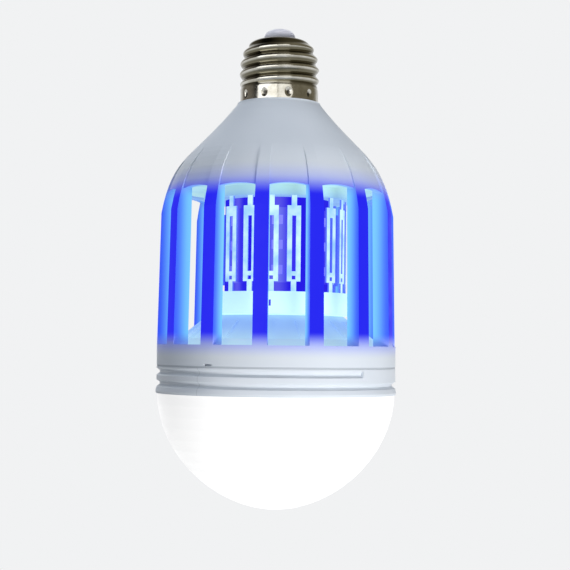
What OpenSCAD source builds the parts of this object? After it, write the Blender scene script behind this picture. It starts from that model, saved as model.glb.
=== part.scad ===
/* [Cap] */
// Crest diameter of the rolled thread on the screw shell
thread_d = 26.4; // [25.8:0.05:26.6]
// Depth of that thread from crest to root
thread_depth = 1.05; // [0.7:0.05:1.2]
// Pitch of that thread
thread_pitch = 3.62; // [3.4:0.01:3.8]
// Length of the threaded stretch
thread_h = 14.3; // [11:0.5:16]
// Sheet thickness of the screw shell
shell_t = 0.45; // [0.3:0.05:0.6]
// Height from the top of the centre contact to the neck of the housing
cap_h = 25; // [24:0.2:28]
// Radius of the centre contact
contact_r = 5.2; // [4:0.1:5.6]
// Height of the centre contact above the shell
contact_h = 4; // [2.6:0.1:4.6]

/* [Housing] */
// Radius of the neck where it meets the cap
neck_r = 13.9; // [13.7:0.1:16]
// Height of the domed top, from the neck to the straight cage
dome_h = 37; // [34:0.5:44]
// Outer radius at the foot of the dome
dome_r = 38.4; // [36.5:0.1:39]
// Outer radius at the foot of the cage
cage_r = 39.2; // [38.8:0.1:41]
// Wall thickness of the dome
wall = 2.2; // [1.6:0.1:2.8]
// Radial gap of every loose fit between pieces that don't move
seat_gap = 0.1; // [0.05:0.01:0.15]

/* [Cage] */
// Number of ribs around the cage
rib_count = 14; // [10:1:18]
// Width of a rib at its outer face
rib_w = 4.8; // [2.8:0.1:5.6]
// Width of a rib at its inner face
rib_inner_w = 3.6; // [2:0.1:4.6]
// Radial depth of a rib
rib_depth = 5.4; // [4:0.1:6.5]
// Turn of the first rib from the front of the lamp
rib_phase = -7.1; // [-12:0.1:12]
// Height of the windows between the ribs
window_h = 50; // [40:0.5:56]
// Rise of the arch at the top of a window
arch_rise = 0.8; // [0.4:0.1:3]
// Depth of the flat panels between the raised ribs on the dome
panel_depth = 0.6; // [0.2:0.1:1]
// Height of the plain ring below the windows
ring_h = 6.6; // [5:0.1:10]
// Wall thickness of that ring
ring_wall = 2.4; // [1.8:0.1:3]

/* [Electric grid] */
// Number of plates in the grid, half of them live
plate_count = 20; // [16:2:28]
// Turn of the first plate from the front of the lamp
plate_phase = -4.4; // [-10:0.1:10]
// Width of a plate
plate_w = 4.4; // [2.4:0.1:5]
// Height of a plate between its tabs
plate_h = 24; // [18:0.5:28]
// Sheet thickness of the plates
plate_t = 0.6; // [0.4:0.1:1]
// Width of the slot stamped in each plate
slot_w = 1.3; // [0.6:0.1:2]
// Solid stretch of a plate above and below its slot
slot_margin = 3.2; // [2:0.1:5]
// Width of the square hole at the foot of each plate
plate_hole = 1.2; // [0.6:0.1:1.6]
// Width of a plate's tabs
tab_w = 1.7; // [1.2:0.1:2.2]
// Length of a plate's tabs outside the holders
tab_h = 3.2; // [1.5:0.1:5]
// Radius of the ring of plates
grid_r = 22.4; // [19:0.1:24]
// Height of the drum that holds the plates above
upper_drum_h = 3.2; // [2.8:0.1:6]
// Height of the drum that holds the plates below
lower_drum_h = 7; // [5:0.1:9]
// Wall thickness of the drums
drum_wall = 1.6; // [1.2:0.1:2.2]

/* [Ultraviolet light] */
// Width of the hexagonal light column across its flats
column_w = 30; // [20:0.5:31]
// Radius of the bore through the column
column_bore_r = 9.5; // [6:0.5:11]
// Radius of the wire duct above and below the column
duct_r = 3.6; // [2.4:0.1:4.4]
// Rows of ultraviolet LEDs on each face of the column
uv_rows = 3; // [2:1:4]
// Width of the boards that carry them
uv_board_w = 12; // [6:0.5:15]
// Width of an ultraviolet LED
uv_led_w = 3.5; // [2.5:0.1:4]

/* [Light module] */
// Height of the grooved collar below the cage
collar_h = 9.2; // [8.6:0.1:12]
// Depth of the two grooves in the collar
groove_depth = 1.1; // [0.4:0.1:1.4]
// Height of a groove
groove_h = 2.2; // [1.4:0.1:2.6]
// Height of the spigot that screws into the cage
spigot_h = 5.6; // [4:0.1:6]
// Radial running clearance of the spigot
spigot_gap = 0.06; // [0.02:0.01:0.09]
// Thickness of the sealing ring
seal_h = 0.6; // [0.4:0.1:1.4]
// Height of the white diffuser below the collar
diffuser_h = 37.8; // [30:0.2:42]
// Wall thickness of the diffuser
diffuser_wall = 1.6; // [1.2:0.1:2.4]
// Number of white LEDs in the outer row
led_count = 18; // [12:1:24]
// Thickness of the round LED board
led_board_t = 1.6; // [1:0.1:2]

/* [Driver] */
// Width of the upright driver board
board_w = 19; // [16:0.5:20]
// Height of the driver board
board_h = 39; // [34:0.5:40]
// Thickness of the driver board
board_t = 1.6; // [1:0.1:2]
// Diameter of a lead with its insulation
lead_d = 1.2; // [0.8:0.1:1.6]

/* [Hidden] */

$fn = 96;
// Overlap of a cut beyond the face that it opens
over = 1;

// Heights, down from the top of the centre contact
neck_z = -cap_h;
dome_foot_z = neck_z - dome_h;
window_top_z = dome_foot_z + 7;
window_foot_z = window_top_z - window_h;
ring_foot_z = window_foot_z - ring_h;
seal_z = ring_foot_z;
collar_top_z = seal_z - seal_h;
collar_foot_z = ring_foot_z - collar_h;
diffuser_foot_z = collar_foot_z - diffuser_h;

// Cap
thread_r = thread_d / 2;
shell_root_r = thread_r - thread_depth;
shell_top_z = -contact_h;
shell_hole_r = contact_r + 0.5;
thread_top_z = shell_top_z - 1.3;
thread_run_in = 6;
thread_run_out = 1.2;
thread_turn = -90;
thread_foot_z = thread_top_z - thread_h;
skirt_r = thread_r - 0.3;
skirt_inset = 2.4;
shell_foot_z = neck_z - skirt_inset;
shoulder_h = 10.6;
shoulder_round = 2;
lip_w = 2;

// Domed outline of the housing, as a curve from the neck to the cage
dome_steps = 16;
neck_lip_h = 0.6;
dome_curve = [
    [neck_r, neck_z - neck_lip_h],
    [neck_r + 15.5, neck_z - 0.54 * dome_h],
    [dome_r - 3.6, neck_z - 0.48 * dome_h],
    [dome_r, dome_foot_z]
];
panel_start_z = neck_z - 0.44 * dome_h;
panel_run = 7;
ring_bore_r = cage_r - ring_wall;
rib_inner_r = cage_r - rib_depth;
rib_top_r = dome_r - rib_depth;
rib_top_z = window_top_z + 3;
cage_out_r = max(cage_r, dome_r) + over;
cage_in_r = min(rib_inner_r, rib_top_r);

// Grid and light column
ceiling_t = 1.8;
ceiling_z = window_top_z + 2.4;
ceiling_r = rib_top_r - 0.8;
upper_drum_foot_z = ceiling_z - ceiling_t - upper_drum_h;
drum_r = grid_r + 2.1;
holder_t = 1.5;
plate_top_z = upper_drum_foot_z - tab_h;
plate_foot_z = plate_top_z - plate_h;
lower_drum_top_z = plate_foot_z - tab_h;
lower_drum_foot_z = lower_drum_top_z - lower_drum_h;
bus_t = 0.8;
bus_w = 2.4;
column_top_z = ceiling_z - ceiling_t;
column_r = column_w / 2 / cos(30);
uv_board_t = 1;
uv_board_h = plate_h;
uv_mid_z = (plate_top_z + plate_foot_z) / 2;

// Screws
screw_r = 1.2;
screw_gap = 0.2;
screw_head = 1.9;
screw_bite = 5;
boss_r = 3.1;
ceiling_screws_count = 3;
ceiling_screw_angle = -93.1 + rib_phase;
ceiling_screw_at = drum_r + 0.42 * (rib_top_r - drum_r);
column_screw_at = column_w / 2 - 1.7;
column_screw_r = 0.8;
column_head_r = screw_head * column_screw_r;
column_head_depth = 1.1;

// Light module
spigot_r = ring_bore_r - spigot_gap;
spigot_wall = 2.2;
spigot_top_z = ring_foot_z + spigot_h;
tray_t = 1.5;
tray_gap = 0.4;
tray_top_z = lower_drum_foot_z - tray_gap;
tray_flat_r = drum_r - 2.4;
tray_flange_r = spigot_r - 0.4;
tray_foot_r = rib_inner_r + 0.6;
collar_bore_r = cage_r - 3;
floor_t = 1.8;
floor_z = collar_top_z - 1.2;
led_board_z = floor_z - floor_t - 2.2;
led_board_r = collar_bore_r - 2.4;
neck_wall = 1.5;
neck_top_z = collar_foot_z + 3.4;
board_screw_r = led_board_r - 6;

tray_screw_at = 15;
tray_screw_angle = 90;
board_screw_angle = 30;
groove_1_drop = 0.5;
groove_2_drop = 4.3;
bulb_round = 1.88;
terminal = [8, 6.4, 10.6];
terminal_top_z = led_board_z + terminal[2];
white_led = [3.5, 2.8, 0.8];
led_rows_inset = [10, 21];

// Driver
board_top_z = shell_top_z - 5.4;
board_foot_z = board_top_z - board_h;
board_grip = 2.5;
rail_top_z = max(board_foot_z, ceiling_z) + board_grip;
parts_foot_z = rail_top_z + 0.5;
core = [15, 11, 13];
small_parts_z = parts_foot_z + core[2] + 3;
contact_stem_h = 3.2;
contact_foot_z = shell_top_z - contact_stem_h;
contact_stem_r = 1.6;
lead_r = lead_d / 2;
lead_y = board_t / 2 + lead_r + seat_gap;
leads_top_z = board_foot_z + 3.2;
return_lead_x = 1.9;
light_leads_x = [0.3, -1.4];
live_lead_angle = plate_angle(round(0.7 * plate_count) + 0.5);
live_lead_at = (grid_r - 0.4) * [cos(live_lead_angle), sin(live_lead_angle)];
return_lead_z = lower_drum_foot_z + holder_t + 1.6;
tab_seat = 0.9;
drain_angle = -95;

// A point of a cubic curve
function curve_point(p, t) =
    pow(1 - t, 3) * p[0] + 3 * t * pow(1 - t, 2) * p[1] + 3 * t * t * (1 - t) * p[2] + pow(t, 3) * p[3];

// How far a panel between the ribs lies below the ribs at height z
function panel_drop(z) =
    let (s = min(1, max(0, (panel_start_z - z) / panel_run))) panel_depth * s * s * (3 - 2 * s);

// The dome's outline from neck to foot, drawn in by drop times the panel's depth and by inset
function dome_outline(drop, inset) = [
    for (i = [0:dome_steps])
        let (p = curve_point(dome_curve, i / dome_steps))
        [p[0] - drop * panel_drop(p[1]) - inset, p[1]]
];

function reversed(list) = [for (i = [len(list) - 1:-1:0]) list[i]];

function rib_angle(i) = -90 + rib_phase + 360 * i / rib_count;

function window_angle(i) = rib_angle(i + 0.5);

function plate_angle(i) = -90 + plate_phase + 360 * i / plate_count;

// Radius of the screw shell's outer face at height z, before the thread
function shell_r(z) =
    let (
        lip_r = shell_hole_r + lip_w,
        t = min(1, max(0, (z - shell_top_z + shoulder_h) / shoulder_h))
    )
    lip_r + (thread_r - thread_depth / 2 - lip_r) * pow(1 - pow(t, shoulder_round), 1 / shoulder_round);

// Share of the thread's full depth at height z
function thread_fade(z) =
    min(1, max(0, (thread_top_z - z) / thread_run_in)) * min(1, max(0, (z - thread_foot_z) / thread_run_out));

// Outer radius of the screw shell with its right-hand thread, at height z and angle a
function threaded_r(z, a) =
    let (skirt = min(1, max(0, (thread_foot_z - z) / thread_run_out)))
    shell_r(z) * (1 - skirt) + skirt_r * skirt
    + thread_fade(z) * thread_depth / 2 * cos(360 * z / thread_pitch - a + thread_turn);

module at_angles(count, start = 0) {
    for (i = [0:count - 1]) {
        rotate(start + 360 * i / count) children();
    }
}

// A ring between two radii and two heights
module ring(inner_r, outer_r, low_z, high_z) {
    rotate_extrude() translate([inner_r, low_z]) square([outer_r - inner_r, high_z - low_z]);
}

function unit(v) = v / norm(v);

// Direction of a route at its point i
function heading(points, i) =
    let (last = len(points) - 1)
    unit((i < last ? unit(points[i + 1] - points[i]) : [0, 0, 0])
        + (i > 0 ? unit(points[i] - points[i - 1]) : [0, 0, 0]));

// A lead that follows a short list of points, as a tube with mitred corners
module lead(points) {
    sides = 8;
    side_ref = [0.31, 0.94, 0.12];
    last = len(points) - 1;
    rings = [for (i = [0:last])
        let (
            t = heading(points, i),
            u = unit(cross(t, side_ref)),
            v = cross(t, u)
        )
        for (k = [0:sides - 1]) points[i] + lead_r * (cos(360 * k / sides) * u + sin(360 * k / sides) * v)];
    polyhedron(
        points = rings,
        faces = concat(
            [[for (k = [0:sides - 1]) k]],
            [for (i = [0:last - 1]) for (k = [0:sides - 1])
                let (j = (k + 1) % sides)
                each [[i * sides + j, i * sides + k, (i + 1) * sides + k],
                    [i * sides + j, (i + 1) * sides + k, (i + 1) * sides + j]]],
            [[for (k = [sides - 1:-1:0]) last * sides + k]]
        )
    );
}

// A pan-head screw that points up from its head's seat at z = 0
module screw(r, length) {
    head_r = screw_head * r;
    head_h = 1.2 * r;
    cross_w = 0.5 * r;
    difference() {
        union() {
            cylinder(r = r, h = length);
            translate([0, 0, -head_h]) cylinder(r1 = 0.75 * head_r, r2 = head_r, h = head_h);
        }
        for (a = [0, 90]) {
            rotate(a) translate([-0.6 * head_r, -cross_w / 2, -head_h - over])
                cube([1.2 * head_r, cross_w, over + 0.6 * head_h]);
        }
    }
}

module centre_contact() {
    flat_r = 1.6;
    crown = 1.35;
    steps = 6;
    color("lightsteelblue") rotate_extrude() {
        polygon(concat(
            [[0, shell_top_z]],
            [for (i = [0:steps - 1])
                let (share = cos(90 * i / steps))
                [flat_r + (contact_r - flat_r) * share,
                    shell_top_z + contact_h * pow(1 - pow(share, crown), 1 / crown)]],
            [[flat_r, 0], [0, 0]]
        ));
        translate([0, contact_foot_z]) square([contact_stem_r, contact_stem_h + over / 5]);
    }
}

module cap_insulator() {
    flange_t = 0.9;
    sleeve_h = 3;
    sleeve_r = shell_hole_r - seat_gap;
    stem_bore_r = contact_stem_r + seat_gap;
    color("dimgray") {
        ring(stem_bore_r, sleeve_r, shell_top_z - sleeve_h, shell_top_z);
        ring(sleeve_r - 0.2, sleeve_r + 1.1, shell_top_z - sleeve_h, shell_top_z - shell_t - flange_t);
    }
}

// The rolled sheet is one swept surface, its inner face parallel to the outer one
module screw_shell() {
    sides = 32;
    rows_per_pitch = 6;
    span = shell_top_z - shell_foot_z;
    rows = ceil(span / thread_pitch * rows_per_pitch);
    heights = [for (k = [0:rows]) shell_top_z - span * k / rows];
    function ring_points(z, r_at) = [for (i = [0:sides - 1])
        let (a = 360 * i / sides, r = r_at(a)) [r * cos(a), r * sin(a), z]];
    outer = concat(
        ring_points(shell_top_z, function (a) shell_hole_r),
        [for (z = heights) each ring_points(z, function (a) threaded_r(z, a))]
    );
    inner = concat(
        ring_points(shell_top_z - shell_t, function (a) shell_hole_r),
        [for (k = [1:rows])
            let (
                z = heights[k],
                slope = norm([1, (shell_r(z) - shell_r(heights[k - 1])) / (heights[k - 1] - z)])
            )
            each ring_points(z, function (a) threaded_r(z, a) - slope * shell_t)]
    );
    count = (rows + 2) * sides;
    function quad(a, b, c, d) = [[a, b, c], [a, c, d]];
    outer_faces = [for (k = [0:rows]) for (i = [0:sides - 1])
        let (j = (i + 1) % sides)
        each quad(k * sides + i, k * sides + j, (k + 1) * sides + j, (k + 1) * sides + i)];
    inner_faces = [for (k = [0:rows - 1]) for (i = [0:sides - 1])
        let (j = (i + 1) % sides)
        each quad(count + k * sides + j, count + k * sides + i,
            count + (k + 1) * sides + i, count + (k + 1) * sides + j)];
    top_faces = [for (i = [0:sides - 1])
        let (j = (i + 1) % sides)
        each quad(j, i, count + i, count + j)];
    foot_faces = [for (i = [0:sides - 1])
        let (j = (i + 1) % sides, k = (rows + 1) * sides, m = count + rows * sides)
        each quad(k + i, k + j, m + j, m + i)];
    color("silver") polyhedron(
        points = concat(outer, inner),
        faces = concat(outer_faces, inner_faces, top_faces, foot_faces)
    );
}

// The domed skin of the housing with its panels, from the neck to the top of the windows
module dome_skin() {
    outer = dome_outline(1, 0);
    ledge_z = shell_foot_z - neck_lip_h;
    inner = reversed([for (p = dome_outline(1, wall)) if (p[1] < ledge_z - neck_lip_h) p]);
    rotate_extrude() polygon(concat(
        [[neck_r - 0.2, neck_z]],
        outer,
        inner,
        [[skirt_r + seat_gap, ledge_z], [skirt_r + seat_gap, neck_z]]
    ));
}

// A full ring with the section of a rib, from which the ribs are cut
module rib_ring() {
    start = ceil(dome_steps * 0.3);
    outer = dome_outline(0, 0);
    middle = dome_outline(1, wall / 2);
    rotate_extrude() polygon(concat(
        [for (i = [start:dome_steps]) outer[i]],
        [[cage_r, window_foot_z - over], [ring_bore_r + 0.2, window_foot_z - over],
            [ring_bore_r + 0.2, window_foot_z], [rib_inner_r, window_foot_z], [rib_top_r, rib_top_z]],
        reversed([for (i = [start:dome_steps]) if (middle[i][1] > rib_top_z) middle[i]])
    ));
}

module upper_housing() {
    notch_w = 2.8;
    notch_h = 0.6;
    notch_angle = -122;
    arch_r = (pow(cage_r * sin(180 / rib_count) - rib_w / 2, 2) + arch_rise * arch_rise) / (2 * arch_rise);
    color("gainsboro") {
        difference() {
            union() {
                difference() {
                    dome_skin();
                    translate([0, 0, window_top_z - arch_rise - dome_h]) cylinder(r = cage_out_r, h = dome_h);
                    for (i = [0:rib_count - 1]) {
                        rotate(window_angle(i)) translate([cage_in_r - 6, 0, window_top_z - arch_r])
                            rotate([0, 90, 0]) cylinder(r = arch_r, h = cage_out_r);
                    }
                }
                intersection() {
                    rib_ring();
                    for (i = [0:rib_count - 1]) rotate(rib_angle(i)) rib_bar();
                }
                intersection() {
                    rotate_extrude() polygon(concat(
                        [[0, neck_z - 3]], dome_outline(1, wall / 2), [[0, dome_foot_z]]
                    ));
                    at_angles(ceiling_screws_count, ceiling_screw_angle)
                        translate([ceiling_screw_at, 0, ceiling_z]) cylinder(r = boss_r, h = dome_h);
                }
            }
            at_angles(ceiling_screws_count, ceiling_screw_angle)
                translate([ceiling_screw_at, 0, ceiling_z - over])
                    cylinder(r = screw_r, h = screw_bite + 1 + over);
            ceiling_head_room();
        }
        difference() {
            ring(ring_bore_r, cage_r, ring_foot_z, window_foot_z);
            rotate(notch_angle) translate([cage_r - 1.2, -notch_w / 2, ring_foot_z - over])
                cube([3, notch_w, notch_h + over]);
        }
    }
}

// An upright bar with the two widths of a rib
module rib_bar() {
    root_r = cage_in_r - 12;
    translate([0, 0, window_foot_z - over]) linear_extrude(dome_h + window_h) polygon([
        [root_r, -rib_inner_w / 2], [cage_in_r, -rib_inner_w / 2], [cage_out_r, -rib_w / 2],
        [cage_out_r, rib_w / 2], [cage_in_r, rib_inner_w / 2], [root_r, rib_inner_w / 2]
    ]);
}

// Room for the heads of the screws under the ceiling
module ceiling_head_room() {
    head_room = upper_drum_h + over;
    at_angles(ceiling_screws_count, ceiling_screw_angle)
        translate([ceiling_screw_at, 0, ceiling_z - ceiling_t - head_room])
            cylinder(r = screw_head * screw_r + screw_gap, h = head_room);
}

// The slots that take the plates' tabs
module plate_slots(low_z, height) {
    at_angles(plate_count, plate_angle(0)) {
        translate([grid_r - plate_t / 2 - seat_gap, -tab_w / 2 - seat_gap, low_z])
            cube([plate_t + 2 * seat_gap, tab_w + 2 * seat_gap, height]);
    }
}

// Two grooved posts that hold the foot of the driver board
module board_rails() {
    post_w = 3;
    post_d = 4.8;
    for (side = [-1, 1]) {
        translate([side * (board_w / 2 - 1) - post_w / 2, -post_d / 2, ceiling_z])
            cube([post_w, post_d, rail_top_z - ceiling_z]);
    }
}

// The space that the driver board takes in what holds it
module board_slot() {
    translate([-board_w / 2 - over, -board_t / 2 - seat_gap, board_foot_z])
        cube([board_w + 2 * over, board_t + 2 * seat_gap, board_h]);
}

module grid_ceiling() {
    color("honeydew") difference() {
        union() {
            ring(duct_r, ceiling_r, ceiling_z - ceiling_t, ceiling_z);
            ring(drum_r - drum_wall, drum_r, upper_drum_foot_z, ceiling_z - ceiling_t);
            ring(column_r + 2 * seat_gap, drum_r, upper_drum_foot_z, upper_drum_foot_z + holder_t);
            board_rails();
        }
        board_slot();
        ceiling_head_room();
        plate_slots(upper_drum_foot_z - over, holder_t + 2 * over);
        at_angles(ceiling_screws_count, ceiling_screw_angle)
            translate([ceiling_screw_at, 0, ceiling_z - ceiling_t - over])
                cylinder(r = screw_r + screw_gap, h = ceiling_t + 2 * over);
        translate([live_lead_at[0], live_lead_at[1], ceiling_z - ceiling_t - over])
            cylinder(r = lead_r + seat_gap, h = ceiling_t + 2 * over);
    }
}

module ceiling_screws() {
    color("silver") at_angles(ceiling_screws_count, ceiling_screw_angle)
        translate([ceiling_screw_at, 0, ceiling_z - ceiling_t]) screw(screw_r, ceiling_t + screw_bite);
}

// A stamped plate with its slot and its two tabs, the upper tab longer by top and the lower by foot
module plate(top, foot) {
    translate([grid_r - plate_t / 2, 0, 0]) rotate([90, 0, 90]) linear_extrude(plate_t) difference() {
        union() {
            translate([-plate_w / 2, plate_foot_z]) square([plate_w, plate_h]);
            translate([-tab_w / 2, plate_foot_z - tab_h - foot])
                square([tab_w, plate_h + 2 * tab_h + top + foot]);
        }
        translate([-slot_w / 2, plate_foot_z + slot_margin]) square([slot_w, plate_h - 2 * slot_margin]);
        translate([-plate_hole / 2, plate_foot_z + plate_hole / 2]) square(plate_hole);
    }
}

// Every second plate hangs from the bus ring in the upper drum
module live_grid() {
    color("paleturquoise") {
        at_angles(plate_count / 2, plate_angle(0)) plate(holder_t + bus_t / 2, tab_seat);
        bus_ring(upper_drum_foot_z + holder_t);
    }
}

// The plates between them stand on the bus ring in the lower drum
module return_grid() {
    color("lightcyan") {
        at_angles(plate_count / 2, plate_angle(1)) plate(tab_seat, holder_t + bus_t / 2);
        bus_ring(lower_drum_top_z - holder_t - bus_t);
    }
}

module bus_ring(low_z) {
    ring(grid_r - bus_w / 2, grid_r + plate_t / 2, low_z, low_z + bus_t);
}

module lower_drum() {
    color("paleturquoise") difference() {
        union() {
            ring(drum_r - drum_wall, drum_r, lower_drum_foot_z, lower_drum_top_z);
            ring(duct_r, drum_r, lower_drum_top_z - holder_t, lower_drum_top_z);
            ring(duct_r, drum_r, lower_drum_foot_z, lower_drum_foot_z + holder_t);
        }
        plate_slots(lower_drum_top_z - holder_t - over, holder_t + 2 * over);
        translate([0, 0, lower_drum_top_z - holder_t - over])
            cylinder(r = column_r + 2 * seat_gap, h = holder_t + 2 * over, $fn = 6);
        for (side = [-1, 1]) {
            translate([0, side * column_screw_at, lower_drum_foot_z - over])
                cylinder(r = column_screw_r + screw_gap, h = holder_t + 2 * over);
            translate([0, side * column_screw_at, lower_drum_foot_z - over])
                cylinder(r = column_head_r + screw_gap, h = column_head_depth + over);
        }
        rotate(drain_angle) translate([drum_r - 3, -0.4, lower_drum_foot_z + 2.4]) cube([4, 0.8, 2]);
    }
}

// The hexagonal core that carries the ultraviolet boards, hollow for the leads
module light_column() {
    color("azure") difference() {
        translate([0, 0, lower_drum_foot_z + holder_t])
            cylinder(r = column_r, h = column_top_z - lower_drum_foot_z - holder_t, $fn = 6);
        translate([0, 0, lower_drum_foot_z])
            cylinder(r = column_bore_r, h = column_top_z - lower_drum_foot_z + over);
        board_slot();
        translate([0, -lead_y - lead_r - seat_gap, return_lead_z - lead_r - seat_gap])
            cube([column_w, lead_d + 2 * seat_gap, lead_d + 2 * seat_gap]);
        for (side = [-1, 1]) {
            translate([0, side * column_screw_at, lower_drum_foot_z])
                cylinder(r = column_screw_r, h = holder_t + 6);
        }
    }
}

module on_column_faces() {
    at_angles(6, 30) translate([column_w / 2, 0, uv_mid_z]) children();
}

module uv_boards() {
    color("lightblue") on_column_faces()
        translate([0, -uv_board_w / 2, -uv_board_h / 2]) cube([uv_board_t, uv_board_w, uv_board_h]);
}

module uv_leds() {
    led_h = 2.8;
    led_t = 1.2;
    lens_r = 1.1;
    color("mediumpurple") on_column_faces() {
        for (k = [0:uv_rows - 1]) {
            translate([uv_board_t, 0, uv_board_h * ((k + 0.5) / uv_rows - 0.5)]) {
                translate([0, -uv_led_w / 2, -led_h / 2]) cube([led_t, uv_led_w, led_h]);
                translate([led_t - 0.1, 0, 0]) rotate([0, 90, 0]) cylinder(r = lens_r, h = 0.4);
            }
        }
    }
}

module column_screws() {
    color("silver") for (side = [-1, 1]) {
        translate([0, side * column_screw_at, lower_drum_foot_z + column_head_depth])
            screw(column_screw_r, 5.5);
    }
}

module driver_board() {
    color("darkgreen") difference() {
        translate([-board_w / 2, -board_t / 2, board_foot_z]) cube([board_w, board_t, board_h]);
        for (side = [-1, 1]) {
            translate([side * (board_w / 2 - 2), 0, board_top_z - 3]) rotate([90, 0, 0])
                cylinder(r = 0.8, h = 2 * board_t, center = true);
        }
    }
}

// A ferrite core with its winding, flat against the board's rear face
module transformer() {
    yoke = 3;
    winding_r = 5;
    translate([0, board_t / 2 + core[1] / 2, parts_foot_z + core[2] / 2]) {
        color("dimgray") for (side = [-1, 1]) {
            translate([-core[0] / 2, -core[1] / 2, side * (core[2] - yoke) / 2 - yoke / 2])
                cube([core[0], core[1], yoke]);
            translate([side * (core[0] - yoke) / 2 - yoke / 2, -core[1] / 2, -core[2] / 2])
                cube([yoke, core[1], core[2]]);
        }
        color("gold") cylinder(r = winding_r - 0.6, h = core[2] - 2 * yoke + 0.02, center = true);
    }
}

module capacitor(r, h) {
    color("navy") {
        cylinder(r = r, h = 0.8 * h);
        translate([0, 0, 0.8 * h]) cylinder(r = r - 0.25, h = 0.06 * h);
        translate([0, 0, 0.86 * h]) cylinder(r = r, h = 0.14 * h);
    }
}

module smoothing_capacitors() {
    small_r = 3.9;
    large_r = 4.8;
    large_h = 16;
    translate([3, -board_t / 2 - small_r, parts_foot_z + large_h + 2]) capacitor(small_r, 14);
    translate([-4, -board_t / 2 - large_r, parts_foot_z + 1]) capacitor(large_r, large_h);
}

module grid_capacitors() {
    size = [7.4, 5.5, 5.5];
    color("firebrick") for (k = [0:1]) {
        translate([1.4, -board_t / 2 - size[1], parts_foot_z + 1 + k * (size[2] + 1)]) cube(size);
    }
}

module bridge_rectifier() {
    color("black") translate([-7.5, board_t / 2, small_parts_z + 8]) cube([6, 2.4, 5]);
}

module surge_resistor() {
    color("khaki") translate([5.5, board_t / 2 + 1.6, small_parts_z]) cylinder(r = 1.6, h = 9);
}

module grid_diodes() {
    color("black") for (k = [0:2]) {
        translate([-7 + 4 * k, board_t / 2 + 1.2, small_parts_z]) cylinder(r = 1.2, h = 4.6);
    }
}

module contact_lead() {
    color("red") lead([
        [0, 0, contact_foot_z - seat_gap], [0, 0, contact_foot_z - 0.8],
        [1.5, lead_y, board_top_z + 0.3], [1.5, lead_y, board_top_z - 4]
    ]);
}

module shell_lead() {
    wall_x = sqrt(pow(shell_root_r - shell_t - 0.1 - lead_r, 2) - pow(board_t / 2 + lead_r, 2));
    color("black") lead([
        [-wall_x, -board_t / 2 - lead_r, board_top_z - 10], [-7, -board_t / 2 - lead_r, board_top_z - 7],
        [-7, -board_t / 2 - lead_r, board_top_z - 3]
    ]);
}

// One lead to each bus ring: straight down to the live one, and through the column to the other
module grid_leads() {
    live = live_lead_at;
    return_x = grid_r - bus_w / 2 + lead_r;
    color("white") {
        lead([
            [-board_w / 2 + 1, board_t / 2 + lead_r, parts_foot_z + 2], [live[0], live[1], ceiling_z + 3],
            [live[0], live[1], upper_drum_foot_z + holder_t + bus_t]
        ]);
        lead([
            [return_lead_x, -lead_y, leads_top_z], [return_lead_x, -lead_y, return_lead_z],
            [return_x, -lead_y, return_lead_z], [return_x, -lead_y, lower_drum_top_z - holder_t - bus_t]
        ]);
    }
}

module light_leads() {
    color("orange") for (x = light_leads_x) {
        lead([[x, -lead_y, leads_top_z], [x, -lead_y, terminal_top_z + 0.3]]);
    }
}

module seal_ring() {
    inset = 0.15;
    color("gray") ring(spigot_r + 0.3, cage_r - inset, collar_top_z, ring_foot_z);
}

// The section of a groove in the collar, with its upper edge at the top of its height
module groove_section() {
    polygon([
        [cage_r + over, 0], [cage_r - 0.2, 0], [cage_r - groove_depth, -0.35 * groove_h],
        [cage_r - groove_depth, -0.6 * groove_h], [cage_r, -groove_h], [cage_r + over, -groove_h]
    ]);
}

module lamp_housing() {
    spigot_inner_r = spigot_r - spigot_wall;
    flange_h = 3.2;
    groove_angle = 300;
    groove_start = -46 - groove_angle;
    ridge = 0.3;
    color("gainsboro") difference() {
        union() {
            ring(spigot_inner_r, spigot_r, floor_z - floor_t, spigot_top_z);
            ring(collar_bore_r, cage_r, collar_foot_z, collar_top_z);
            ring(spigot_inner_r - 1, cage_r, collar_top_z - flange_h, collar_top_z);
            rotate_extrude() polygon([
                [cage_r - 0.5, collar_foot_z], [cage_r + 0.1, collar_foot_z],
                [cage_r + ridge, collar_foot_z + 0.8], [cage_r, collar_foot_z + 2],
                [cage_r - 0.5, collar_foot_z + 2]
            ]);
            cylinder_at(floor_z - floor_t, spigot_r - 0.5, floor_t);
            at_angles(3, board_screw_angle) translate([board_screw_r, 0, led_board_z])
                cylinder(r = boss_r, h = floor_z - led_board_z);
        }
        rotate(groove_start) translate([0, 0, collar_top_z - groove_1_drop])
            rotate_extrude(angle = groove_angle) groove_section();
        translate([0, 0, collar_top_z - groove_2_drop]) rotate_extrude() groove_section();
        translate([-terminal[0] / 2 - seat_gap, -terminal[1] / 2 - seat_gap, floor_z - floor_t - over])
            cube([terminal[0] + 2 * seat_gap, terminal[1] + 2 * seat_gap, floor_t + 2 * over]);
        at_angles(3, board_screw_angle) translate([board_screw_r, 0, led_board_z - over])
            cylinder(r = screw_r, h = 4 + over);
        at_angles(3, tray_screw_angle) translate([tray_screw_at, 0, floor_z - floor_t - over])
            cylinder(r = screw_r + screw_gap, h = floor_t + 2 * over);
    }
}

module cylinder_at(z, r, h) {
    translate([0, 0, z]) cylinder(r = r, h = h);
}

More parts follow.
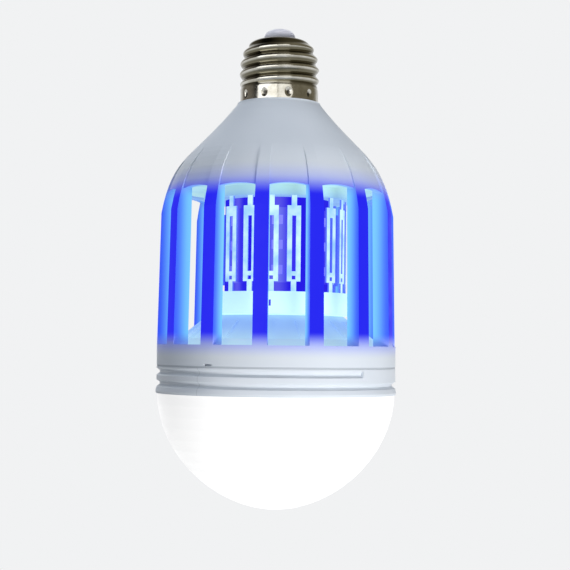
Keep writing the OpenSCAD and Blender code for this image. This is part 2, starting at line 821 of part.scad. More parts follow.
// The conical floor that catches the insects, with its low ridges and the posts that carry it
module insect_tray() {
    hub_r = duct_r + 1;
    slope_foot_z = window_foot_z + 0.2;
    ridge_h = 0.5;
    ridge_w = 0.9;
    rim_r = rib_inner_r - 0.5;
    rim_t = 1.1;
    rim_h = 1.8;
    color("lightskyblue") {
        rotate_extrude() polygon([
            [hub_r, tray_top_z], [tray_flat_r, tray_top_z], [rim_r - rim_t, slope_foot_z + 0.9],
            [rim_r - rim_t, slope_foot_z + rim_h], [rim_r, slope_foot_z + rim_h],
            [rim_r, spigot_top_z + 0.7], [tray_flange_r, spigot_top_z + 0.7],
            [tray_flange_r, spigot_top_z], [tray_foot_r - 1.6, spigot_top_z],
            [tray_flat_r - 0.8, tray_top_z - tray_t], [hub_r, tray_top_z - tray_t]
        ]);
        at_angles(24, 0) rotate([90, 0, 0]) translate([0, 0, -ridge_w / 2]) linear_extrude(ridge_w)
            polygon([
                [tray_flat_r + 2.6, tray_top_z - 1.6], [tray_flat_r + 3, tray_top_z - 1.8],
                [rim_r - rim_t / 2, slope_foot_z + 0.9 + ridge_h], [rim_r - rim_t / 2, slope_foot_z - 0.2],
                [tray_flat_r + 2, tray_top_z - 3]
            ]);
        at_angles(3, tray_screw_angle) translate([tray_screw_at, 0, 0]) difference() {
            cylinder_at(floor_z, boss_r, tray_top_z - tray_t / 2 - floor_z);
            cylinder_at(floor_z - over, screw_r, 6 + over);
        }
    }
}

module tray_screws() {
    color("silver") at_angles(3, tray_screw_angle)
        translate([tray_screw_at, 0, floor_z - floor_t]) screw(screw_r, floor_t + screw_bite);
}

module led_board() {
    color("white") difference() {
        cylinder_at(led_board_z - led_board_t, led_board_r, led_board_t);
        at_angles(3, board_screw_angle) translate([board_screw_r, 0, led_board_z - led_board_t - over])
            cylinder(r = screw_r + screw_gap, h = led_board_t + 2 * over);
    }
}

module white_leds() {
    color("lightyellow") for (row = [0, 1]) {
        at_angles(led_count / (row + 1), 10 - 10 * row)
            translate([led_board_r - led_rows_inset[row] - white_led[0] / 2, -white_led[1] / 2,
                led_board_z - led_board_t - white_led[2]])
                cube(white_led);
    }
}

module board_screws() {
    color("silver") at_angles(3, board_screw_angle)
        translate([board_screw_r, 0, led_board_z - led_board_t]) screw(screw_r, led_board_t + 3.5);
}

module lead_terminal() {
    color("ivory") difference() {
        translate([-terminal[0] / 2, -terminal[1] / 2, led_board_z]) cube(terminal);
        for (x = light_leads_x) {
            translate([x, -lead_y, terminal_top_z - 2]) cylinder(r = lead_r + seat_gap, h = 2 + over);
        }
    }
}

// A point of the diffuser's rounded section, at angle a from its rim and drawn in by inset
function bulb_point(a, inset) = [
    (cage_r - 0.3 - inset) * pow(cos(a), 2 / bulb_round),
    collar_foot_z - (diffuser_h - inset) * pow(sin(a), 2 / bulb_round)
];

module diffuser() {
    step = 6;
    neck_r_out = collar_bore_r - seat_gap;
    color("white") rotate_extrude() polygon(concat(
        [[neck_r_out - neck_wall, neck_top_z], [neck_r_out, neck_top_z], [neck_r_out, collar_foot_z]],
        [for (a = [0:step:84]) bulb_point(a, 0)],
        [[0, diffuser_foot_z], [0, diffuser_foot_z + diffuser_wall]],
        [for (a = [84:-step:step * 2]) bulb_point(a, diffuser_wall)],
        [[neck_r_out - neck_wall, collar_foot_z - 3]]
    ));
}

centre_contact();
cap_insulator();
screw_shell();
upper_housing();
grid_ceiling();
ceiling_screws();
live_grid();
return_grid();
lower_drum();
light_column();
uv_boards();
uv_leds();
column_screws();
driver_board();
transformer();
smoothing_capacitors();
grid_capacitors();
bridge_rectifier();
surge_resistor();
grid_diodes();
contact_lead();
shell_lead();
grid_leads();
light_leads();
seal_ring();
lamp_housing();
insect_tray();
tray_screws();
led_board();
white_leds();
board_screws();
lead_terminal();
diffuser();
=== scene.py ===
"""Insect killer light bulb: materials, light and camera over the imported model, in metres."""
import math

import bmesh
import bpy
from mathutils import Matrix, Vector


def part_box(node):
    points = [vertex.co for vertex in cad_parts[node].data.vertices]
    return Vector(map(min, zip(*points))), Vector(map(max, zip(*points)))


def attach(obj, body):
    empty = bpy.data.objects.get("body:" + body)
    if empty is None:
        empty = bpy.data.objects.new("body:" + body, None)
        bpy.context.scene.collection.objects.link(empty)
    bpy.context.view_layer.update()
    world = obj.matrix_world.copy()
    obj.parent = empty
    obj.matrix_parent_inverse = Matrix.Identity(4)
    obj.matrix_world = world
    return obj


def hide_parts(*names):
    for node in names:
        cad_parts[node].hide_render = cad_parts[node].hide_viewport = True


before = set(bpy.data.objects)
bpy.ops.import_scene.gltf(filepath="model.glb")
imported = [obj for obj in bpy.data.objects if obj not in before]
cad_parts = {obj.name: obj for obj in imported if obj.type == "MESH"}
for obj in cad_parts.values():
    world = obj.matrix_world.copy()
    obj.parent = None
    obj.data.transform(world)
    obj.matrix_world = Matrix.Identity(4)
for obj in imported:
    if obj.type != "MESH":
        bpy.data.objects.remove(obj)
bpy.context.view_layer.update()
scene = bpy.context.scene
MM = 0.001
FULL_TURN = 2 * math.pi


def box_mm(node):
    """Lowest and highest corner of a CAD node at rest, in mm."""
    return [tuple(v / MM for v in corner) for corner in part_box(node)]


# Camera and floor, in metres, with the focal length in pixels of the photo
AXIS_AIM_Z = -0.0850
CAMERA_X = 0.00265
CAMERA_Z = -0.1055
CAMERA_DISTANCE = 0.464
CAMERA_ROLL = math.radians(0.65)
FOCAL_PX = 1406.0
IMAGE_PX = 570.0
SENSOR_MM = 36.0
FLOOR_Z = -0.55

# Cage, in mm
CAGE_LOW, CAGE_HIGH = box_mm("upper_housing")
CAGE_R = CAGE_HIGH[0]
RIB_DEPTH = 5.4
RING_H = 6.6
WINDOW_H = 50.0
WINDOW_FOOT = CAGE_LOW[2] + RING_H
WINDOW_TOP = WINDOW_FOOT + WINDOW_H

# Screw shell, in mm
SHELL_LOW, SHELL_HIGH = box_mm("screw_shell")
SHELL_FOOT = SHELL_LOW[2]
SHELL_TOP = SHELL_HIGH[2]
SHELL_HOLE = 5.7
SHELL_LIP = 7.7
SHEET = 0.45
SHOULDER_H = 10.6
SKIRT_R = 12.9

# Mesh of the screw cap: rows and slope in mm, points round a ring
TOP_ROW_H = 0.03
ROW_H = 0.2
PROBE = 0.1
SLOPED_H = 5.0
WIDEST_GAP = 3.0
INNER_FIRST = 6
INNER_STEP = 4
SHELL_POINTS = 240
TIP_POINTS = 96

# Rolled thread, in mm
THREAD_R = 13.2
THREAD_DEPTH = 1.05
THREAD_PITCH = 3.62
THREAD_TOP = SHELL_TOP - 0.4
THREAD_FOOT = SHELL_TOP - 15.6
THREAD_TURN = -math.pi / 2
RUN_IN = 2.6
RUN_OUT = 1.2

# Crimp dimples round the skirt, in mm
DIMPLES = 10
DIMPLE_Z = SHELL_FOOT + 4.5
DIMPLE_W = 1.2
DIMPLE_H = 1.7
DIMPLE_DEPTH = 0.55
DIMPLE_TURN = math.radians(-112.0)

# Mould seam of the collar
SEAM_TURN = math.radians(-127.8)

# Crown of the centre contact: radius and height of each ring, in mm
CROWN = ((5.2, -4.0), (5.2, -2.9), (5.12, -2.35), (4.95, -1.9), (4.65, -1.45), (4.25, -1.06), (3.75, -0.72),
         (3.1, -0.42), (2.4, -0.18), (1.6, 0.0))


def srgb(r, g, b):
    """Linear colour of an 8-bit sRGB one."""
    def lin(v):
        v /= 255.0
        return v / 12.92 if v <= 0.04045 else ((v + 0.055) / 1.055) ** 2.4
    return (lin(r), lin(g), lin(b), 1.0)


BLACK = srgb(0, 0, 0)
PALE = srgb(241, 242, 243)
SHELL_WHITE = srgb(224, 229, 235)
SHELL_SHADE = srgb(218, 224, 231)


class Nodes:
    """A node tree and the few helpers that the finishes, the floor and the world share."""

    def __init__(self, tree):
        self.tree = tree
        self.tree.nodes.clear()

    def node(self, kind, **settings):
        n = self.tree.nodes.new(kind)
        for key, value in settings.items():
            setattr(n, key, value)
        return n

    def put(self, socket, value):
        """Links another node's output to the socket, or gives it a plain value."""
        if isinstance(value, bpy.types.NodeSocket):
            self.tree.links.new(value, socket)
        else:
            socket.default_value = value

    def math(self, operation, a, b=0.0, c=0.0):
        n = self.node("ShaderNodeMath", operation=operation)
        for socket, value in zip(n.inputs, (a, b, c)):
            self.put(socket, value)
        return n.outputs[0]

    def length(self, a, b):
        return self.math("SQRT", self.math("ADD", self.math("MULTIPLY", a, a), self.math("MULTIPLY", b, b)))

    def vec(self, operation, a, b=(0.0, 0.0, 0.0)):
        n = self.node("ShaderNodeVectorMath", operation=operation)
        self.put(n.inputs[0], a)
        self.put(n.inputs[1], b)
        return n.outputs["Value" if operation == "DOT_PRODUCT" else "Vector"]

    def smooth(self, value, low, high, to_low=0.0, to_high=1.0):
        """Eases from to_low, where the value is at low, to to_high, where it is at high."""
        n = self.node("ShaderNodeMapRange", interpolation_type="SMOOTHSTEP")
        for key, v in (("Value", value), ("From Min", low), ("From Max", high), ("To Min", to_low),
                       ("To Max", to_high)):
            self.put(n.inputs[key], v)
        return n.outputs[0]

    def mix(self, factor, a, b):
        """The colour a at factor 0 and b at factor 1."""
        n = self.node("ShaderNodeMix", data_type="RGBA")
        self.put(n.inputs[0], factor)
        self.put(n.inputs[6], a)
        self.put(n.inputs[7], b)
        return n.outputs[2]

    def blend(self, factor, a, b):
        """The shader a at factor 0 and b at factor 1."""
        n = self.node("ShaderNodeMixShader")
        for socket, value in zip(n.inputs, (factor, a, b)):
            self.put(socket, value)
        return n.outputs[0]

    def source(self, kind, colour, strength=1.0):
        """An emission or background shader of this colour."""
        n = self.node(kind)
        self.put(n.inputs[0], colour)
        self.put(n.inputs[1], strength)
        return n.outputs[0]

    def looked_at(self):
        """1 for what the camera sees, mirrored or through glass too, and 0 for what lights the object."""
        path = self.node("ShaderNodeLightPath").outputs
        by_metal_or_glass = self.math("MAXIMUM", path["Is Glossy Ray"], path["Is Transmission Ray"])
        return self.math("MAXIMUM", path["Is Camera Ray"], by_metal_or_glass)


class Finish(Nodes):
    """A material with one principled shader, and the places and patterns that it is made from."""

    SOCKETS = {"base": "Base Color", "rough": "Roughness", "metal": "Metallic", "emit": "Emission Color",
               "strength": "Emission Strength", "normal": "Normal", "shine": "Specular IOR Level"}

    def __init__(self, name):
        self.material = bpy.data.materials.new(name)
        self.material.use_nodes = True
        super().__init__(self.material.node_tree)
        self.output = self.node("ShaderNodeOutputMaterial")
        self.shader = self.node("ShaderNodeBsdfPrincipled")
        self.put(self.output.inputs[0], self.shader.outputs[0])
        coords = self.node("ShaderNodeTexCoord").outputs
        self.point = coords["Object"]
        self.facing = coords["Normal"]
        parts = self.node("ShaderNodeSeparateXYZ")
        self.put(parts.inputs[0], self.point)
        self.x, self.y, self.z = parts.outputs

    def set(self, **values):
        for key, value in values.items():
            self.put(self.shader.inputs[self.SOCKETS[key]], value)
        return self

    def radius(self):
        return self.length(self.x, self.y)

    def angle(self):
        return self.math("ARCTAN2", self.y, self.x)

    def past_nearest(self, count, first):
        """Angle past the nearest of so many places round the axis, one of which is at the angle first."""
        step = FULL_TURN / count
        turned = self.math("SUBTRACT", self.angle(), first - step / 2)
        return self.math("SUBTRACT", self.math("FLOORED_MODULO", turned, step), step / 2)

    def outward(self):
        """How far the surface faces away from the lamp's axis, from -1 to 1."""
        flat = self.vec("NORMALIZE", self.vec("MULTIPLY", self.point, (1.0, 1.0, 0.0)))
        return self.vec("DOT_PRODUCT", self.facing, flat)

    def band(self, z0, z1, z2, z3):
        """1 between the heights z1 and z2, in mm, fading to 0 at z0 below and z3 above."""
        return self.math("MULTIPLY", self.smooth(self.z, z0 * MM, z1 * MM),
                         self.smooth(self.z, z2 * MM, z3 * MM, 1.0, 0.0))

    def noise(self, scale, detail=3.0, rough=0.5, stretch=None):
        n = self.node("ShaderNodeTexNoise")
        where = self.point if stretch is None else self.vec("MULTIPLY", self.point, stretch)
        self.put(n.inputs["Vector"], where)
        for key, v in (("Scale", scale), ("Detail", detail), ("Roughness", rough)):
            self.put(n.inputs[key], v)
        return n.outputs[0]

    def bump(self, height, depth, strength):
        n = self.node("ShaderNodeBump")
        for key, v in (("Height", height), ("Distance", depth), ("Strength", strength)):
            self.put(n.inputs[key], v)
        return n.outputs[0]


def dress(finish, *names):
    """Gives the CAD nodes this finish."""
    for name in names:
        for material_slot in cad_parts[name].material_slots:
            material_slot.material = finish.material


def plastic(name, colour, shade, rough, grain=1800.0, depth=0.00003):
    """Moulded plastic: fine spark grain, faint flow marks and uneven gloss."""
    g = Finish(name)
    flow = g.noise(38.0, detail=2.0, stretch=(1.0, 1.0, 0.35))
    fine = g.noise(grain, detail=2.0, rough=0.6)
    g.plain = g.mix(g.smooth(flow, 0.3, 0.7), colour, shade)
    gloss = g.smooth(g.noise(160.0), 0.25, 0.75, rough - 0.07, rough + 0.09)
    return g.set(base=g.plain, rough=gloss, normal=g.bump(fine, depth, 0.5))


def metal(name, colour, shade, rough, scale=300.0):
    """Bare metal with fine marks in its colour and gloss."""
    g = Finish(name)
    marks = g.noise(scale, rough=0.6)
    gloss = g.smooth(marks, 0.3, 0.7, rough, rough + 0.12)
    return g.set(base=g.mix(g.smooth(marks, 0.3, 0.7), colour, shade), metal=1.0, rough=gloss,
                 normal=g.bump(marks, 0.00003, 0.4))


# White shells
def cage_plastic():
    """White at the dome and the ring; between them a painted glow of the ultraviolet light: deep blue on the
    ribs' fronts, pale on their sides, with a faint painted blue halo above and below the windows.
    """
    g = plastic("white_shell", SHELL_WHITE, SHELL_SHADE, 0.40)
    lit = g.band(WINDOW_FOOT - 0.4, WINDOW_FOOT + 4.2, WINDOW_TOP - 3.8, WINDOW_TOP + 2.7)
    halo = g.band(WINDOW_FOOT - 4.2, WINDOW_FOOT + 1.6, WINDOW_TOP - 1.5, WINDOW_TOP + 7.5)
    outward = g.outward()
    front = g.smooth(outward, 0.45, 0.85)
    back = g.smooth(outward, -0.9, -0.2, 1.0, 0.0)
    across = g.smooth(g.radius(), (CAGE_R - RIB_DEPTH - 0.4) * MM, (CAGE_R - 0.2) * MM)
    # Painted glow: the white ribs are coloured blue by emission, as if the ultraviolet light fell on them,
    # deep on the fronts and pale on the sides and backs.
    side_light = g.mix(across, srgb(124, 206, 255), srgb(50, 74, 246))
    rib_light = g.mix(front, g.mix(back, side_light, srgb(196, 246, 255)), srgb(34, 34, 250))
    halo_light = g.mix(g.math("MULTIPLY", halo, 0.24), BLACK, srgb(90, 106, 250))
    # Painted shade under the glow: the white turns a darker blue-grey just above and below the windows, and
    # dark blue on the ribs between them, darkest on their fronts.
    halo_painted_shade = g.mix(g.math("MULTIPLY", halo, 0.70), g.plain, srgb(124, 140, 214))
    rib_painted_shade = g.mix(front, srgb(52, 82, 124), srgb(10, 14, 60))
    return g.set(base=g.mix(lit, halo_painted_shade, rib_painted_shade), emit=g.mix(lit, halo_light, rib_light),
                 strength=0.88, shine=0.12)


def collar_plastic():
    """The white of the shell, with a faint mould seam down two opposite sides."""
    g = plastic("white_collar", SHELL_WHITE, SHELL_SHADE, 0.40)
    off_seam = g.math("ABSOLUTE", g.math("SINE", g.math("SUBTRACT", g.angle(), SEAM_TURN)))
    seam = g.smooth(off_seam, 0.0016, 0.0042, 0.25, 0.0)
    return g.set(base=g.mix(seam, g.plain, srgb(120, 126, 134)))


def diffuser_plastic():
    """Milky white, lit from within."""
    g = plastic("diffuser", srgb(207, 206, 204), srgb(203, 202, 201), 0.33, grain=2600.0, depth=0.00002)
    low, high = box_mm("diffuser")
    rise = g.smooth(g.z, low[2] * MM, (high[2] - 3.6) * MM)
    return g.set(emit=g.mix(rise, srgb(255, 255, 254), srgb(252, 251, 250)), strength=0.60)


dress(cage_plastic(), "upper_housing")
dress(collar_plastic(), "lamp_housing")
dress(diffuser_plastic(), "diffuser")
dress(plastic("seal", srgb(196, 202, 208), srgb(186, 192, 200), 0.6), "seal_ring")


# What the ultraviolet light floods
def flooded(name, node, foot_up, top_up, colours, lights, strength, rough=0.5, cloud=0.12):
    """It shines from one light at the node's foot to another at its top, each end moved up so many mm."""
    g = plastic(name, *colours, rough)
    low, high = box_mm(node)
    rise = g.smooth(g.z, (low[2] + foot_up) * MM, (high[2] + top_up) * MM)
    clouds = g.math("MULTIPLY", g.smooth(g.noise(120.0), 0.35, 0.7), cloud)
    g.set(emit=g.mix(clouds, g.mix(rise, *lights), srgb(70, 90, 240)), strength=strength)
    dress(g, node)
    return g


def violet(name, node, base, deep, near, spread):
    """The core glows lighter along the rows of ultraviolet LEDs, to so many degrees beside each row."""
    g = plastic(name, base, base, 0.5)
    off_row = g.math("ABSOLUTE", g.past_nearest(6, math.pi / 6))
    uneven = g.math("MULTIPLY_ADD", g.noise(90.0), 0.5, 0.75)
    lighter = g.math("MULTIPLY", g.smooth(off_row, 0.0, math.radians(spread), 1.0, 0.0), uneven)
    g.set(emit=g.mix(lighter, deep, near), strength=0.88, shine=0.08)
    dress(g, node)


def plate_steel():
    """Stamped plates with a painted glow of the ultraviolet light: deep blue from behind and on edge, pale
    on the faces that look outward.
    """
    g = plastic("grid_steel", srgb(120, 140, 160), srgb(96, 116, 140), 0.30)
    front = g.smooth(g.outward(), 0.1, 0.75)
    # Painted glow, in uneven patches, on the faces that look outward.
    glow_patches = g.smooth(g.noise(210.0, detail=2.0), 0.35, 0.75)
    front_light = g.mix(glow_patches, srgb(214, 252, 255), srgb(150, 205, 250))
    return g.set(emit=g.mix(front, srgb(70, 84, 240), front_light), strength=0.80, shine=0.15)


flooded("grid_holder", "grid_ceiling", -2.8, -8.9, (srgb(110, 140, 150), srgb(100, 132, 142)),
        (srgb(104, 150, 226), srgb(174, 216, 214)), 0.78).set(shine=0.2)
flooded("grid_drum", "lower_drum", 0.4, 0.4, (srgb(150, 170, 180), srgb(140, 160, 175)),
        (srgb(205, 250, 255), srgb(190, 235, 255)), 0.80, cloud=0.05)
flooded("uv_light", "uv_leds", -9.8, 7.4, (srgb(100, 100, 170), srgb(90, 90, 160)),
        (srgb(112, 112, 244), srgb(126, 128, 250)), 0.90, rough=0.25)
flooded("tray", "insect_tray", 8.8, -2.6, (srgb(150, 172, 184), srgb(140, 162, 178)),
        (srgb(176, 208, 218), srgb(124, 156, 226)), 0.72, cloud=0.08)
violet("column", "light_column", srgb(20, 16, 66), srgb(36, 20, 236), srgb(92, 88, 242), 17.0)
violet("uv_board", "uv_boards", srgb(26, 22, 80), srgb(56, 44, 239), srgb(120, 128, 244), 15.0)
dress(plate_steel(), "live_grid", "return_grid")


# Pieces of the screw cap, made finer than in the CAD
def revolved(name, rings, capped=False):
    """A closed mesh from rings of points, in mm, which join end to end or have a flat face at each end."""
    count = len(rings[0])
    points = [tuple(v * MM for v in p) for ring in rings for p in ring]
    faces = []
    for k in range(len(rings) - (1 if capped else 0)):
        low, high = k * count, (k + 1) % len(rings) * count
        faces += [(low + i, low + (i + 1) % count, high + (i + 1) % count, high + i) for i in range(count)]
    if capped:
        last = (len(rings) - 1) * count
        faces += [tuple(range(count - 1, -1, -1)), tuple(range(last, last + count))]
    mesh = bpy.data.meshes.new(name)
    mesh.from_pydata(points, [], faces)
    turned_out = bmesh.new()
    turned_out.from_mesh(mesh)
    bmesh.ops.recalc_face_normals(turned_out, faces=turned_out.faces)
    turned_out.to_mesh(mesh)
    turned_out.free()
    mesh.polygons.foreach_set("use_smooth", [True] * len(mesh.polygons))
    piece = bpy.data.objects.new(name, mesh)
    scene.collection.objects.link(piece)
    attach(piece, "bulb_body")
    return piece


def circle(z, radius, count):
    """A ring of points at this height; the radius is a number, or a function of the angle."""
    angles = [FULL_TURN * i / count for i in range(count)]
    radii = [radius(a) if callable(radius) else radius for a in angles]
    return [(r * math.cos(a), r * math.sin(a), z) for r, a in zip(radii, angles)]


def ease(v, low, high):
    """Eases from 0 at low to 1 at high."""
    t = min(1.0, max(0.0, (v - low) / (high - low)))
    return t * t * (3.0 - 2.0 * t)


def plain_r(z):
    """Radius of the screw shell without its thread: a rounded shoulder, a straight side and the skirt."""
    t = min(1.0, max(0.0, (z - SHELL_TOP + SHOULDER_H) / SHOULDER_H))
    side = SHELL_LIP + (THREAD_R - THREAD_DEPTH / 2 - SHELL_LIP) * math.sqrt(1.0 - t * t)
    skirt = ease(-z, -THREAD_FOOT, -THREAD_FOOT + RUN_OUT)
    return side * (1.0 - skirt) + SKIRT_R * skirt


def thread_wave(z, a):
    """How far the rolled thread stands out at this height and angle, running in and out at its ends."""
    fade = ease(-z, -THREAD_TOP, -THREAD_TOP + RUN_IN) * ease(z, THREAD_FOOT, THREAD_FOOT + RUN_OUT)
    return fade * THREAD_DEPTH / 2 * math.cos(FULL_TURN * z / THREAD_PITCH - a + THREAD_TURN)


def dimple_depth(z, a):
    """How deep the skirt is crimped at this height and angle."""
    step = FULL_TURN / DIMPLES
    across = ((a - DIMPLE_TURN + step / 2) % step - step / 2) * SKIRT_R / DIMPLE_W
    off_dimple = math.hypot(across, (z - DIMPLE_Z) / DIMPLE_H)
    return DIMPLE_DEPTH * (1.0 - ease(off_dimple, 0.35, 1.0))


def cap_r(z, a):
    """Outer radius of the rolled screw shell, with its thread and its dimples."""
    return plain_r(z) + thread_wave(z, a) - dimple_depth(z, a)


def level_gap(z):
    """Level distance between the two faces of the sheet, which grows where the shoulder slopes."""
    if not SHELL_TOP - SLOPED_H < z < SHELL_TOP - PROBE:
        return SHEET
    slope = (cap_r(z - PROBE, 0.0) - cap_r(z + PROBE, 0.0)) / (2 * PROBE)
    return SHEET * min(WIDEST_GAP, math.hypot(1.0, slope))


def shell_ring(z, inset=0.0):
    """The outer face of the screw shell at this height, drawn in by the inset."""
    return circle(z, lambda a: cap_r(z, a) - inset, SHELL_POINTS)


def rolled_shell():
    """The screw shell's sheet: its top face, its outer face down to the foot, and a coarser inner face."""
    heights = [SHELL_TOP - TOP_ROW_H * k * k for k in range(1, 6)]
    shoulder_z = heights[-1]
    row_count = int((shoulder_z - SHELL_FOOT) / ROW_H)
    heights += [shoulder_z - ROW_H * k for k in range(1, row_count)] + [SHELL_FOOT]
    edge = ((SHELL_TOP - SHEET, SHELL_HOLE), (SHELL_TOP, SHELL_HOLE), (SHELL_TOP, SHELL_LIP))
    rings = [circle(z, r, SHELL_POINTS) for z, r in edge]
    rings += [shell_ring(z) for z in heights]
    rings += [shell_ring(z, level_gap(z)) for z in reversed(heights[INNER_FIRST::INNER_STEP])]
    return revolved("screw_cap_rolled", rings)


def nickel_plate():
    """Bright nickel, with painted shade in the valleys of the thread and a painted dark spot in each crimp
    dimple.
    """
    g = Finish("nickel")
    rubbed = g.noise(60.0, detail=4.0, rough=0.6, stretch=(1.0, 1.0, 9.0))
    stained = g.smooth(g.noise(230.0, rough=0.6), 0.35, 0.75)
    wound = g.math("MULTIPLY_ADD", g.z, FULL_TURN / (THREAD_PITCH * MM), THREAD_TURN)
    crest = g.smooth(g.math("COSINE", g.math("SUBTRACT", wound, g.angle())), -0.25, 0.9)
    threaded = g.band(THREAD_FOOT - RUN_OUT, THREAD_FOOT + 0.4, SHELL_TOP - 1.0, SHELL_TOP)
    valley = g.math("MULTIPLY", threaded, g.math("SUBTRACT", 1.0, crest))
    across = g.math("MULTIPLY", g.past_nearest(DIMPLES, DIMPLE_TURN), SKIRT_R / DIMPLE_W)
    upward = g.math("MULTIPLY_ADD", g.z, 1.0 / (DIMPLE_H * MM), -DIMPLE_Z / DIMPLE_H)
    # Painted shadow: a near-black spot in each crimp dimple.
    painted_dimple_shade = g.smooth(g.length(across, upward), 0.25, 0.62, 0.9, 0.0)
    bright = g.mix(stained, srgb(206, 204, 196), srgb(178, 174, 162))
    # Painted shade: the nickel turns dark olive in the valleys of the thread.
    valley_shaded = g.mix(g.math("MULTIPLY", valley, 0.95), bright, srgb(102, 97, 78))
    return g.set(base=g.mix(painted_dimple_shade, valley_shaded, srgb(30, 28, 24)), metal=1.0,
                 rough=g.smooth(rubbed, 0.3, 0.8, 0.12, 0.24), normal=g.bump(rubbed, 0.00004, 0.5))


def contact_tin():
    """The pale, evenly worn face of the centre contact."""
    g = Finish("contact")
    worn = g.noise(420.0)
    tin = g.mix(g.smooth(worn, 0.35, 0.7), srgb(246, 243, 250), srgb(238, 235, 243))
    return g.set(base=tin, metal=0.0, rough=g.smooth(worn, 0.3, 0.7, 0.5, 0.65),
                 normal=g.bump(worn, 0.00004, 0.5))


screw_cap = rolled_shell()
screw_cap.data.materials.append(nickel_plate().material)
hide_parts("screw_shell")

tip = revolved("contact_tip", [circle(z, r, TIP_POINTS) for r, z in CROWN], capped=True)
tip.data.materials.append(contact_tin().material)
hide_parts("centre_contact")

# Pieces inside, with the cap's insulator
dress(plastic("insulator", srgb(44, 42, 44), srgb(34, 33, 36), 0.35), "cap_insulator")
dress(metal("screw_steel", srgb(200, 203, 208), srgb(170, 174, 182), 0.25, 900.0), "ceiling_screws",
      "column_screws", "tray_screws", "board_screws")
dress(plastic("circuit_board", srgb(46, 104, 66), srgb(38, 92, 58), 0.45), "driver_board")
dress(plastic("ferrite", srgb(66, 62, 60), srgb(54, 52, 52), 0.6), "transformer")
dress(plastic("capacitor_sleeve", srgb(40, 44, 62), srgb(34, 38, 54), 0.35), "smoothing_capacitors")
dress(plastic("capacitor_film", srgb(176, 58, 44), srgb(160, 50, 40), 0.3), "grid_capacitors")
dress(plastic("black_parts", srgb(34, 34, 36), srgb(28, 28, 30), 0.45), "bridge_rectifier", "grid_diodes")
dress(plastic("resistor", srgb(202, 184, 146), srgb(190, 170, 130), 0.5), "surge_resistor")
dress(plastic("lead_sleeve", srgb(196, 40, 38), srgb(180, 34, 32), 0.45), "contact_lead", "grid_leads")
dress(plastic("lead_sleeve_white", srgb(226, 226, 224), srgb(214, 214, 212), 0.45), "shell_lead",
      "light_leads")
dress(metal("led_board_metal", srgb(214, 216, 220), srgb(196, 198, 204), 0.35), "led_board")
dress(plastic("white_light", srgb(244, 226, 150), srgb(236, 214, 130), 0.3), "white_leds")
dress(plastic("terminal", srgb(236, 236, 232), srgb(224, 224, 220), 0.4), "lead_terminal")


# Floor and backdrop
def disc_mesh(name, first_r, growth, ring_count, count):
    """A flat disc at the floor's height, of rings that each are so many times wider than the last."""
    verts = [(0.0, 0.0, FLOOR_Z)]
    for i in range(1, ring_count + 1):
        verts += circle(FLOOR_Z, first_r * growth ** i, count)
    faces = []
    for k in range(count):
        after = (k + 1) % count
        faces.append((0, 1 + k, 1 + after))
        for i in range(ring_count - 1):
            a, b = 1 + i * count, 1 + (i + 1) * count
            faces.append((a + k, b + k, b + after, a + after))
    mesh = bpy.data.meshes.new(name)
    mesh.from_pydata(verts, [], faces)
    return mesh


def floor_finish():
    """Pale ground that takes the object's shadow nearby and melts into the backdrop far away."""
    g = Finish("floor")
    g.set(base=PALE, rough=0.8)
    far = g.source("ShaderNodeEmission", PALE, g.math("MULTIPLY_ADD", g.looked_at(), 0.80, 0.20))
    melting = g.smooth(g.radius(), 0.30, 0.90, 0.65, 1.0)
    g.put(g.output.inputs[0], g.blend(melting, g.shader.outputs[0], far))
    return g


floor_mesh = disc_mesh("floor", first_r=0.05, growth=1.28, ring_count=24, count=96)
floor_mesh.materials.append(floor_finish().material)
floor = bpy.data.objects.new("floor", floor_mesh)
scene.collection.objects.link(floor)


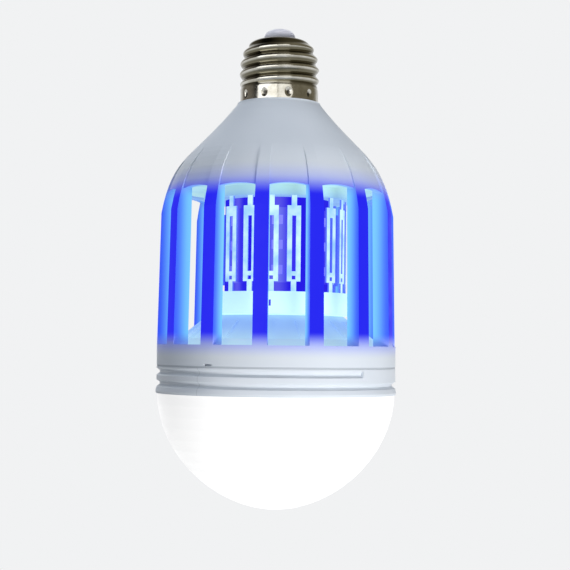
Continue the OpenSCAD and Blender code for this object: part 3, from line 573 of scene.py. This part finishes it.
def studio():
    """Soft light from all round, a pale backdrop, and a room that only reflections show."""
    world = bpy.data.worlds.new("studio")
    world.use_nodes = True
    sky = Nodes(world.node_tree)
    heading = sky.node("ShaderNodeTexCoord").outputs["Generated"]
    to_camera = sky.node("ShaderNodeLightPath").outputs["Is Camera Ray"]

    def towards(direction, low, high):
        """Rises from 0 to 1 as the view turns to this direction."""
        return sky.smooth(sky.vec("DOT_PRODUCT", heading, Vector(direction).normalized()), low, high)

    def wall(colour, strength=1.0):
        return sky.source("ShaderNodeBackground", colour, strength)

    pale = wall(PALE)
    dim, lighter = wall(srgb(16, 14, 9)), wall(srgb(128, 122, 104))
    room = sky.blend(towards((1.0, -0.1, 0.0), -0.45, 0.35), dim, lighter)
    corner = sky.blend(towards((-0.8, 0.6, 0.0), 0.5, 0.9), room, wall(srgb(124, 118, 108)))
    mirrored = sky.blend(towards((0.0, 1.0, 0.0), 0.55, 0.98), corner, pale)
    shown = sky.blend(to_camera, mirrored, pale)
    fill = wall(srgb(226, 236, 250), 0.40)
    sky.put(sky.node("ShaderNodeOutputWorld").inputs[0], sky.blend(sky.looked_at(), fill, shown))
    return world


scene.world = studio()


# Lamps
def lamp(name, where, aim, size, power, colour=(1.0, 1.0, 1.0)):
    """A rectangular area lamp, in metres and watts."""
    data = bpy.data.lights.new(name, "AREA")
    data.shape = "RECTANGLE"
    data.size, data.size_y = size
    data.energy = power
    data.color = colour
    o = bpy.data.objects.new(name, data)
    o.location = where
    o.rotation_euler = (Vector(aim) - Vector(where)).to_track_quat("-Z", "Y").to_euler()
    scene.collection.objects.link(o)
    return o


CENTRE = (0.0, 0.0, -0.09)
key = lamp("key", (0.34, -0.57, -0.44), CENTRE, (0.3, 0.3), 5.3)
above = lamp("above", (-0.22, 0.05, 0.75), CENTRE, (0.4, 0.4), 3.2, (0.93, 0.96, 1.0))
behind = lamp("behind", (0.12, 0.92, -0.05), CENTRE, (0.9, 0.9), 3.4, (0.95, 0.97, 1.0))
for soft_lamp in (key, above, behind):
    soft_lamp.visible_glossy = False

# Two bright panes that only the shine on the metal and the plastic shows
left = lamp("pane_left", (-0.33, -0.47, 0.10), (0.0, 0.0, 0.10), (0.66, 0.60), 2.4)
right = lamp("pane_right", (0.20, -0.70, 0.25), (0.0, 0.0, 0.25), (0.50, 0.50), 0.95)
for pane in (left, right):
    pane.visible_diffuse = False

# Camera
camera_data = bpy.data.cameras.new("camera")
camera_data.sensor_width = SENSOR_MM
camera_data.lens = FOCAL_PX / IMAGE_PX * SENSOR_MM
camera = bpy.data.objects.new("camera", camera_data)
scene.collection.objects.link(camera)
pitch = math.atan2(AXIS_AIM_Z - CAMERA_Z, CAMERA_DISTANCE)
camera.matrix_world = (Matrix.Translation((CAMERA_X, -CAMERA_DISTANCE, CAMERA_Z))
                       @ Matrix.Rotation(math.pi / 2 + pitch, 4, "X") @ Matrix.Rotation(CAMERA_ROLL, 4, "Z"))
scene.camera = camera
scene.view_settings.view_transform = "Standard"
